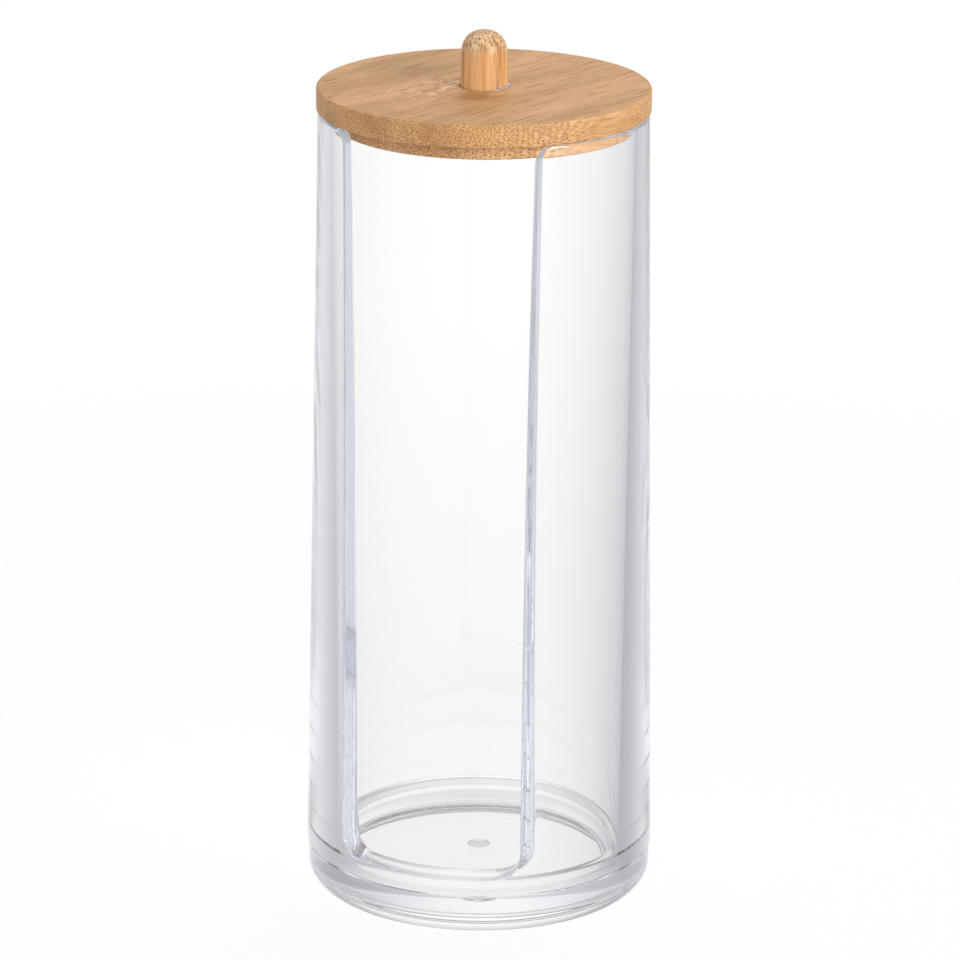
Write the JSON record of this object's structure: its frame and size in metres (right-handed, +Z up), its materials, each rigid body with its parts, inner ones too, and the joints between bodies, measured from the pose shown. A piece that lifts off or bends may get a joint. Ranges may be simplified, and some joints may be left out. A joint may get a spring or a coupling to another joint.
{
  "type": "cotton pad box",
  "caption": "Tall clear cylinder for a stack of round cotton pads, with an open front slot, a separate clear base and a lift-off bamboo lid with a rod knob.",
  "frame": {"origin": "middle of the flat foot ring, on the surface that the box stands on", "axes": "+Z up along the cylinder's axis, -Y out through the middle of the front slot, +X to the right of the slot seen from the front"},
  "size_m": [0.0744, 0.0744, 0.1878],
  "materials": {
    "clear_plastic": "clear polished polystyrene",
    "bamboo": "satin lacquered bamboo",
    "bamboo_rod": "satin lacquered bamboo, grain along the rod",
    "glue": "dried wood glue"
  },
  "bodies": {
    "box": {"base": "clear_plastic", "body_tube": "clear_plastic"},
    "lid": {"lid_top_disc": "bamboo", "lid_plug_disc": "bamboo", "knob": "bamboo_rod", "knob_glue_ring": "glue"}
  },
  "joints": [
    {"name": "lid_lift", "type": "slide", "parent": "box", "child": "lid", "axis": [0, 0, 1], "range_m": [0, 0.08]}
  ]
}
